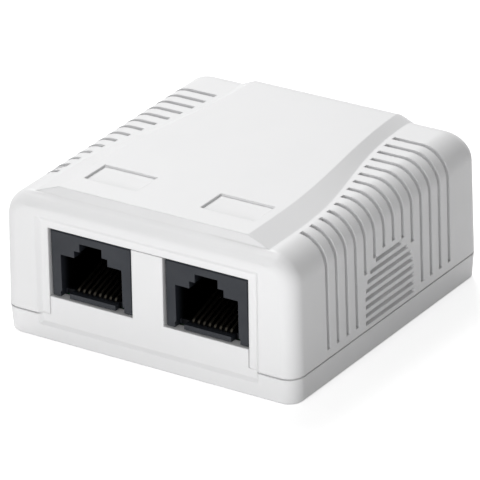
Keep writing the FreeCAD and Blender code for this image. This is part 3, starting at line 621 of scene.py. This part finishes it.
@dataclass
class SmoothCopy:
    """A CAD node's surface with its loose triangles joined, shaded smooth between sharp edges."""

    node: str
    name: str
    body: Body
    slot: str
    weld_step: float = 2e-7
    sharp_angle_deg: float = 18.0
    crease_angle_deg: float = 10.0
    level_slope: float = 0.9995
    area_weight: int = 80
    blend_places: Sequence[Vector] = ()
    blend_radius: float = 1.7 * MM
    blend_rounds: int = 12

    def _triangles(self) -> Tuple[np.ndarray, np.ndarray]:
        """Read the node's triangles.

        Returns:
            (points, faces) as arrays, with equal points still apart.
        """
        mesh = frame["nodes"][self.node].data
        points = np.empty(len(mesh.vertices) * 3)
        mesh.vertices.foreach_get("co", points)
        mesh.calc_loop_triangles()
        faces = np.empty(len(mesh.loop_triangles) * 3, dtype=np.int64)
        mesh.loop_triangles.foreach_get("vertices", faces)
        return points.reshape(-1, 3), faces.reshape(-1, 3)

    def _welded(self) -> Tuple[np.ndarray, np.ndarray]:
        """Join points that fall into the same cell of a grid with weld_step sides.

        Returns:
            (points, faces) with each place held once and no face left without area.
        """
        points, faces = self._triangles()
        cells = np.round(points / self.weld_step).astype(np.int64)
        _, first, index = np.unique(cells, axis=0, return_index=True, return_inverse=True)
        faces = index.reshape(-1)[faces]
        whole = ((faces[:, 0] != faces[:, 1]) & (faces[:, 1] != faces[:, 2]) & (faces[:, 0] != faces[:, 2]))
        return points[first], faces[whole]

    def _blended(self, points: np.ndarray, faces: np.ndarray) -> np.ndarray:
        """Soften the small corners at blend_places, as the mould's polishing does.

        In each round a point moves towards the mean of its neighbours by a share that falls smoothly from
        one at the place to nought at blend_radius: 1 - 3 t^2 + 2 t^3, with t the distance over the radius.

        Args:
            points: (n, 3) welded points.
            faces: (m, 3) corner indices.

        Returns:
            The moved points.
        """
        start = np.concatenate([faces[:, 0], faces[:, 1], faces[:, 2]])
        end = np.concatenate([faces[:, 1], faces[:, 2], faces[:, 0]])
        count = np.bincount(start, minlength=len(points))[:, None]
        share = np.zeros(len(points))
        for place in self.blend_places:
            t = np.clip(np.linalg.norm(points - np.array(place), axis=1) / self.blend_radius, 0.0, 1.0)
            share = np.maximum(share, 1.0 - 3.0 * t ** 2 + 2.0 * t ** 3)
        for _ in range(self.blend_rounds):
            total = np.zeros_like(points)
            np.add.at(total, start, points[end])
            points = points + share[:, None] * (total / count - points)
        return points

    def _mark_creases(self, mesh: bpy.types.Mesh) -> None:
        """Mark as sharp every edge over sharp_angle_deg, and lower ones where a level face ends in a slope.

        A face is level where the Z part of its normal is over level_slope, as on the top of the box.

        Args:
            mesh: the welded mesh.
        """
        work = bmesh.new()
        work.from_mesh(mesh)
        sharp, crease = math.radians(self.sharp_angle_deg), math.radians(self.crease_angle_deg)
        for edge in work.edges:
            angle = edge.calc_face_angle(math.pi)
            level = any(abs(face.normal.z) > self.level_slope for face in edge.link_faces)
            edge.smooth = angle <= (crease if level else sharp)
        work.to_mesh(mesh)
        work.free()

    def build(self, finishes: FinishBook) -> bpy.types.Object:
        """Build the copy and let it stand for the node.

        Args:
            finishes: the book of finishes.

        Returns:
            The new piece.
        """
        points, faces = self._welded()
        if self.blend_places:
            points = self._blended(points, faces)
        piece = link_mesh(self.name, points, faces)
        shade_smooth(piece)
        self._mark_creases(piece.data)
        level = piece.modifiers.new("even_normals", "WEIGHTED_NORMAL")
        level.mode = "FACE_AREA"
        level.weight = self.area_weight
        level.keep_sharp = True
        dress(piece, finishes.of(self.slot))
        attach(piece, self.body.value)
        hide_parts(self.node)
        return piece


@dataclass
class SpringContacts:
    """The eight spring wires of one jack, each a flat strip bent to a smooth hairpin."""

    side: Side
    thickness: float = 0.35 * MM
    width: float = 0.45 * MM
    run_above_board: float = 0.5 * MM
    hairpin_radius: float = 0.42 * MM
    bend_radius: float = 0.6 * MM
    rise_deg: float = 18.0
    corner_share: float = 0.3
    bend_steps: int = 10
    number_of_wires: int = 8

    def _middle_line(self, low: Vector, high: Vector) -> Tuple[np.ndarray, np.ndarray]:
        """Side view of a wire's middle line, from its tail to its free end, with its normals.

        The tail is a straight run up, then a quarter circle forward, a straight run, a hairpin turn of
        180 degrees less the rise, and a straight free end at the rise angle.

        Args:
            low: lowest corner of the wire's place.
            high: highest corner of the wire's place.

        Returns:
            (points, normals), both (n, 2) arrays of (y, z).
        """
        half = self.thickness / 2
        tail_y, front_y = high.y - half, low.y + half
        run_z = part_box("circuit_board")[1].z + self.run_above_board
        pin = np.array([front_y + self.hairpin_radius, run_z + self.hairpin_radius])
        bend = np.array([tail_y - self.bend_radius, run_z - self.bend_radius])
        rise = math.radians(self.rise_deg)
        quarter = np.linspace(0.0, math.pi / 2, self.bend_steps)
        round_pin = np.linspace(1.5 * math.pi, math.pi / 2 + rise, 2 * self.bend_steps)
        out_quarter = np.stack([np.cos(quarter), np.sin(quarter)], axis=1)
        out_pin = np.stack([np.cos(round_pin), np.sin(round_pin)], axis=1)
        last = pin + self.hairpin_radius * out_pin[-1]
        length = (high.z - half * math.cos(rise) - last[1]) / math.sin(rise)
        end = last + length * np.array([math.cos(rise), math.sin(rise)])
        points = np.concatenate([[[tail_y, low.z]], bend + self.bend_radius * out_quarter,
                                 pin + self.hairpin_radius * out_pin, [end]])
        normals = np.concatenate([[[1.0, 0.0]], out_quarter, -out_pin, [-out_pin[-1]]])
        return points, normals

    def _strip(self, name: str, node: str) -> bpy.types.Object:
        """One wire: a rectangle with softened corners carried along the middle line.

        A point of the section at (u across, v thick) lies at middle line + v times normal, moved u in X.

        Args:
            name: name of the piece.
            node: CAD node that it stands for.

        Returns:
            The wire.
        """
        low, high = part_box(node)
        line, normals = self._middle_line(low, high)
        half_w, half_t = self.width / 2, self.thickness / 2
        cut = self.corner_share * half_t
        section = np.array([[-half_w + cut, -half_t], [half_w - cut, -half_t], [half_w, -half_t + cut],
                            [half_w, half_t - cut], [half_w - cut, half_t], [-half_w + cut, half_t],
                            [-half_w, half_t - cut], [-half_w, -half_t + cut]])
        count, around = len(line), len(section)
        x = (low.x + high.x) / 2 + np.broadcast_to(section[:, 0], (count, around))
        y = line[:, :1] + normals[:, :1] * section[:, 1]
        z = line[:, 1:] + normals[:, 1:] * section[:, 1]
        points = np.stack([x, y, z], axis=-1).reshape(-1, 3)
        piece = link_mesh(name, points, np.stack(ring_corners(count, around), axis=1))
        self._close_ends(piece, count, around)
        return piece

    @staticmethod
    def _close_ends(piece: bpy.types.Object, count: int, around: int) -> None:
        """Close both ends of a strip with one face each and turn every face outwards.

        Args:
            piece: the strip.
            count: number of sections along it.
            around: number of points in a section.
        """
        mesh = bmesh.new()
        mesh.from_mesh(piece.data)
        mesh.verts.ensure_lookup_table()
        mesh.faces.new([mesh.verts[i] for i in range(around)])
        mesh.faces.new([mesh.verts[(count - 1) * around + i] for i in range(around)])
        bmesh.ops.recalc_face_normals(mesh, faces=mesh.faces)
        mesh.to_mesh(piece.data)
        mesh.free()

    def build(self, finishes: FinishBook) -> List[bpy.types.Object]:
        """Build the eight wires.

        Args:
            finishes: the book of finishes.

        Returns:
            The wires.
        """
        wires = []
        for number in range(1, self.number_of_wires + 1):
            node = f"{self.side.value}_contact_{number}"
            wire = self._strip(f"{self.side.value}_spring_{number}", node)
            dress(wire, finishes.of("contact_gold"))
            shade_smooth(wire)
            wire.data.set_sharp_from_angle(angle=math.radians(SHARP_EDGE_DEG))
            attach(wire, Body.BASE.value)
            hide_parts(node)
            wires.append(wire)
        return wires


@dataclass
class PanHeadScrews:
    """The two board screws: turned shank and domed head with a pressed cross recess."""

    head_radius: float = 2.1 * MM
    head_height: float = 1.5 * MM
    dome: float = 0.5 * MM
    rim_radius: float = 0.35 * MM
    shank_radius: float = 1.1 * MM
    thread_depth: float = 0.14 * MM
    thread_pitch: float = 0.9 * MM
    arm_half_width: float = 0.35 * MM
    arm_reach: float = 1.3 * MM
    recess_depth: float = 0.8 * MM
    recess_edge: float = 0.12 * MM
    recess_end: float = 0.3 * MM
    recess_taper: float = 0.45
    tip_length: float = 0.3 * MM
    tip_threads: float = 3.0
    around: int = 72
    head_rings: int = 24
    shank_rings: int = 40

    def _head_top(self, radius: np.ndarray, turn: np.ndarray) -> np.ndarray:
        """Drop of the head's top below its highest point.

        A dome, dome times the square of radius over head radius, a quarter-round rim, and a cross recess:
        its depth falls off over a short way from the nearer arm's middle line and from the arm's end.

        Args:
            radius: distances from the axis.
            turn: angles round the axis, of the same shape.

        Returns:
            The drop, of the same shape.
        """
        drop = self.dome * (radius / self.head_radius) ** 2
        over = np.clip(radius - (self.head_radius - self.rim_radius), 0.0, self.rim_radius)
        drop = drop + self.rim_radius - np.sqrt(self.rim_radius ** 2 - over ** 2)
        x, y = np.abs(radius * np.cos(turn)), np.abs(radius * np.sin(turn))
        beside, along = np.minimum(x, y), np.maximum(x, y)
        side = np.clip((self.arm_half_width - beside) / self.recess_edge + 0.5, 0.0, 1.0)
        end = np.clip((self.arm_reach - along) / self.recess_end + 0.5, 0.0, 1.0)
        return drop + self.recess_depth * side * end * (1.0 - self.recess_taper * along / self.arm_reach)

    def _one(self, top: float, bottom: float) -> Tuple[np.ndarray, np.ndarray]:
        """Points and faces of one screw about its own axis: rings over the head, down the shank, to the tip.

        The shank's radius falls by thread_depth times a cosine wave that turns once in thread_pitch.

        Args:
            top: height of the head's highest point.
            bottom: height of the tip.

        Returns:
            (points, faces).
        """
        turn = np.linspace(0.0, 2.0 * math.pi, self.around, endpoint=False)
        head = self.head_radius * np.linspace(0.0, 1.0, self.head_rings + 1)[1:]
        grid_r, grid_t = np.meshgrid(head, turn, indexing="ij")
        grid_z = top - self._head_top(grid_r, grid_t)
        under = top - self.head_height
        levels = np.linspace(under, bottom + self.tip_length, self.shank_rings)
        wave = 0.5 + 0.5 * np.cos(2.0 * math.pi * levels[:, None] / self.thread_pitch - turn[None, :])
        shank_r = self.shank_radius - self.thread_depth * wave
        shank_r[0] = self.shank_radius
        tip_r = np.full((1, self.around), self.shank_radius - self.tip_threads * self.thread_depth)
        rings_r = np.concatenate([grid_r, np.full((1, self.around), self.head_radius), shank_r, tip_r])
        rings_z = np.concatenate([grid_z, np.full((1, self.around), under),
                                  np.repeat(levels[:, None], self.around, axis=1),
                                  np.full((1, self.around), bottom)])
        rings_t = np.broadcast_to(turn, rings_r.shape)
        points = np.stack([rings_r * np.cos(rings_t), rings_r * np.sin(rings_t), rings_z], axis=-1)
        count = len(rings_r)
        ends = np.array([[0.0, 0.0, top - float(self._head_top(np.zeros(1), np.zeros(1))[0])],
                         [0.0, 0.0, bottom]])
        points = np.concatenate([points.reshape(-1, 3), ends])
        a, b, c, d = ring_corners(count, self.around)
        walls = np.concatenate([np.stack([a, d, b], axis=1), np.stack([b, d, c], axis=1)])
        here, there = np.arange(self.around), (np.arange(self.around) + 1) % self.around
        last = (count - 1) * self.around
        middle = np.full(self.around, count * self.around)
        caps = np.concatenate([np.stack([middle, here, there], axis=-1),
                               np.stack([middle + 1, last + there, last + here], axis=-1)])
        return points, np.concatenate([walls, caps])

    def build(self, finishes: FinishBook) -> bpy.types.Object:
        """Build both screws as one piece and let it stand for the node.

        Args:
            finishes: the book of finishes.

        Returns:
            The pair of screws.
        """
        low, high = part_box("board_screws")
        points, faces = self._one(high.z, low.z)
        reach = high.x - self.head_radius
        places = np.array([[side * reach, (low.y + high.y) / 2, 0.0] for side in (-1.0, 1.0)])
        both = np.concatenate([points + place for place in places])
        piece = link_mesh("pan_head_screws", both, np.concatenate([faces, faces + len(points)]))
        shade_smooth(piece)
        piece.data.set_sharp_from_angle(angle=math.radians(SHARP_EDGE_DEG))
        dress(piece, finishes.of("screw_steel"))
        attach(piece, Body.BASE.value)
        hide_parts("board_screws")
        return piece


@dataclass
class Housing:
    """The white housing and everything rigid in it, dressed node by node.

    The panel's two front tips lie tip_inset from the cover's sides, tip_setback behind its front and
    tip_drop below its top.
    """

    tip_inset: float = 4.9 * MM
    tip_setback: float = 0.75 * MM
    tip_drop: float = 2.2 * MM

    def build(self, finishes: FinishBook) -> List[bpy.types.Object]:
        """Smooth the curved nodes and dress all the others.

        Args:
            finishes: the book of finishes.

        Returns:
            The smooth copies.
        """
        low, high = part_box("cover")
        tips = [Vector((side * (high.x - self.tip_inset), low.y + self.tip_setback, high.z - self.tip_drop))
                for side in (-1.0, 1.0)]
        copies = [SmoothCopy("cover", "clip_on_cover", Body.COVER, "cover_plastic", blend_places=tips),
                  SmoothCopy("base", "mounting_base", Body.BASE, "base_plastic")]
        made = [copy.build(finishes) for copy in copies]
        slots = {row["node"]: row["material_slot"] for row in frame["record"]["subparts"]}
        for node, piece in frame["nodes"].items():
            dress(piece, finishes.of(slots[node]))
        LOG.info("dressed %d nodes", len(frame["nodes"]))
        return made


# --- studio -------------------------------------------------------------------------------------------
def direction(azimuth_deg: float, elevation_deg: float) -> Vector:
    """Direction from the object, with azimuth a from the front towards +X and elevation e.

    It is (sin a cos e, -cos a cos e, sin e).

    Args:
        azimuth_deg: azimuth in degrees.
        elevation_deg: elevation in degrees.

    Returns:
        The direction, one long.
    """
    azimuth, elevation = math.radians(azimuth_deg), math.radians(elevation_deg)
    return Vector((math.sin(azimuth) * math.cos(elevation), -math.cos(azimuth) * math.cos(elevation),
                   math.sin(elevation)))


@dataclass(frozen=True)
class SoftBox:
    """A square soft lamp that faces the object."""

    name: str
    azimuth_deg: float
    elevation_deg: float
    distance: float
    size: float
    level: float
    aside: float = 0.0
    mirrored: bool = True

    def build(self, target: Vector) -> bpy.types.Object:
        """Place the lamp. Its power makes a face that looks straight at it render at level.

        Args:
            target: the point it faces, before the lamp and that point are moved aside along X.

        Returns:
            The lamp.
        """
        away = direction(self.azimuth_deg, self.elevation_deg)
        lamp = bpy.data.lights.new(self.name, "AREA")
        lamp.shape = "SQUARE"
        lamp.size = self.size
        lamp.energy = self.level * math.pi ** 2 * self.distance ** 2
        piece = bpy.data.objects.new(self.name, lamp)
        piece.location = target + away * self.distance + Vector((self.aside, 0.0, 0.0))
        piece.rotation_euler = away.to_track_quat("Z", "Y").to_euler()
        piece.visible_glossy = self.mirrored
        bpy.context.scene.collection.objects.link(piece)
        return piece


@dataclass
class Studio:
    """Wide pale floor, soft lamps and an even white surround."""

    sky_level: float = 0.27
    floor_light: Colour = (0.80, 0.80, 0.80)
    floor_dark: Colour = (0.79, 0.79, 0.79)
    floor_spots_per_metre: float = 3.0
    floor_radius: float = 6.0
    floor_rings: int = 12
    floor_sides: int = 48
    lift_near: float = 0.62
    lift_far: float = 0.82
    lift_starts: float = 0.12
    lift_ends: float = 0.7
    lamps: Sequence[SoftBox] = (
        SoftBox("top_back_softbox", azimuth_deg=230.0, elevation_deg=52.0, distance=0.9, size=0.45,
                level=0.80),
        SoftBox("front_softbox", azimuth_deg=0.0, elevation_deg=9.0, distance=0.27, size=0.08,
                level=0.49, aside=0.048, mirrored=False),
    )

    def _floor(self) -> bpy.types.Object:
        """Flat round floor: rings whose radii grow as the square of their number, closed by a middle fan.

        Returns:
            The floor.
        """
        radii = self.floor_radius * np.linspace(0.0, 1.0, self.floor_rings)[1:] ** 2
        turn = np.linspace(0.0, 2.0 * math.pi, self.floor_sides, endpoint=False)
        ring_x, ring_y = np.outer(radii, np.cos(turn)), np.outer(radii, np.sin(turn))
        points = np.stack([ring_x, ring_y, np.zeros_like(ring_x)], axis=-1).reshape(-1, 3)
        points = np.concatenate([points, np.zeros((1, 3))])
        a, b, c, d = ring_corners(len(radii), len(turn))
        here = np.arange(len(turn))
        fan = np.stack([np.full(len(turn), len(points) - 1), here, (here + 1) % len(turn)], axis=-1)
        faces = np.concatenate([np.stack([a, d, c], axis=1), np.stack([a, c, b], axis=1), fan])
        return link_mesh("studio_floor", points, faces)

    def _floor_paint(self) -> bpy.types.Material:
        """Matt white paint that shows brighter to the camera, so that only the shadow falls below white.

        Returns:
            The material.
        """
        material, shader, here = new_material("floor_paint")
        tree, links = material.node_tree, material.node_tree.links
        tone = place_group(material, EFFECTS.tone_drift(), {
            "Spots per metre": self.floor_spots_per_metre, "Light": (*self.floor_light, 1.0),
            "Dark": (*self.floor_dark, 1.0)})
        links.new(here, tone.inputs["Position"])
        links.new(tone.outputs["Colour"], shader.inputs["Base Color"])
        shader.inputs["Roughness"].default_value = 1.0
        shader.inputs["Specular IOR Level"].default_value = 0.0
        away = add_node(tree, "VectorMath", operation="LENGTH")
        links.new(here, away.inputs[0])
        amount = add_node(tree, "MapRange", {"From Min": self.lift_starts, "From Max": self.lift_ends,
                                             "To Min": self.lift_near, "To Max": self.lift_far})
        links.new(away.outputs["Value"], amount.inputs["Value"])
        shader.inputs["Emission Color"].default_value = (1.0, 1.0, 1.0, 1.0)
        links.new(compute(tree, "MULTIPLY", self._seen(tree), amount.outputs["Result"]),
                  shader.inputs["Emission Strength"])
        return material

    @staticmethod
    def _seen(tree: bpy.types.NodeTree) -> bpy.types.NodeSocket:
        """One for rays that show the background, nought for rays that carry its light.

        Args:
            tree: node tree of a material or world.

        Returns:
            The greatest of the camera, glossy and transmission marks.
        """
        ray = add_node(tree, "LightPath").outputs
        seen = compute(tree, "MAXIMUM", ray["Is Camera Ray"], ray["Is Glossy Ray"])
        return compute(tree, "MAXIMUM", seen, ray["Is Transmission Ray"])

    def _surround(self) -> None:
        """Even sky: white to the camera and in reflections, sky_level for the light that it gives."""
        world = bpy.data.worlds.new("studio_surround")
        world.use_nodes = True
        tree = world.node_tree
        glow = tree.nodes["Background"]
        glow.inputs["Color"].default_value = (1.0, 1.0, 1.0, 1.0)
        strength = add_node(tree, "MapRange", {"To Min": self.sky_level, "To Max": 1.0})
        tree.links.new(self._seen(tree), strength.inputs["Value"])
        tree.links.new(strength.outputs["Result"], glow.inputs["Strength"])
        bpy.context.scene.world = world

    def build(self) -> None:
        """Build the floor, the lamps and the surround."""
        floor = self._floor()
        dress(floor, self._floor_paint())
        floor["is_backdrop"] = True
        low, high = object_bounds()
        target = (low + high) / 2
        for lamp in self.lamps:
            lamp.build(target)
        self._surround()
        LOG.info("studio: %d lamps", len(self.lamps))


@dataclass
class ViewCamera:
    """A long-lens camera above the right-hand front corner."""

    azimuth_deg: float = 33.68
    elevation_deg: float = 25.03
    roll_deg: float = -1.42
    distance: float = 0.6658
    shift_right: float = 0.01462
    shift_up: float = 0.02033
    lens_mm: float = 316.5
    clip_start: float = 0.01
    clip_end: float = 20.0

    def build(self) -> bpy.types.Object:
        """Place the camera and make it the scene's own.

        It looks at the middle of the front face's foot, moved sideways and up in its own picture plane.

        Returns:
            The camera.
        """
        low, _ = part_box("base")
        back = direction(self.azimuth_deg, self.elevation_deg)
        right = Vector((0.0, 0.0, 1.0)).cross(back).normalized()
        up = back.cross(right)
        roll = math.radians(self.roll_deg)
        turned_right = math.cos(roll) * right + math.sin(roll) * up
        turned_up = math.cos(roll) * up - math.sin(roll) * right
        place = Vector((0.0, low.y, 0.0)) + back * self.distance
        place += turned_right * self.shift_right + turned_up * self.shift_up
        data = bpy.data.cameras.new("view_camera")
        data.lens = self.lens_mm
        data.clip_start, data.clip_end = self.clip_start, self.clip_end
        camera = bpy.data.objects.new("view_camera", data)
        turn = Matrix((turned_right, turned_up, back)).transposed()
        camera.matrix_world = Matrix.Translation(place) @ turn.to_4x4()
        bpy.context.scene.collection.objects.link(camera)
        bpy.context.scene.camera = camera
        return camera


def main() -> None:
    """Dress the box, build its studio and camera, and report each piece."""
    logging.basicConfig(level=logging.INFO, format="%(name)s: %(message)s")
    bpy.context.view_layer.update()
    finishes = FinishBook()
    pieces = Housing().build(finishes)
    for side in Side:
        pieces += SpringContacts(side).build(finishes)
    pieces.append(PanHeadScrews().build(finishes))
    for piece in pieces:
        LOG.info("%s: %d faces", piece.name, len(piece.data.polygons))
    Studio().build()
    camera = ViewCamera().build()
    LOG.info("camera: %.1f mm lens", camera.data.lens)
    bpy.context.scene.view_settings.view_transform = "Standard"


if __name__ == "__main__":
    main()
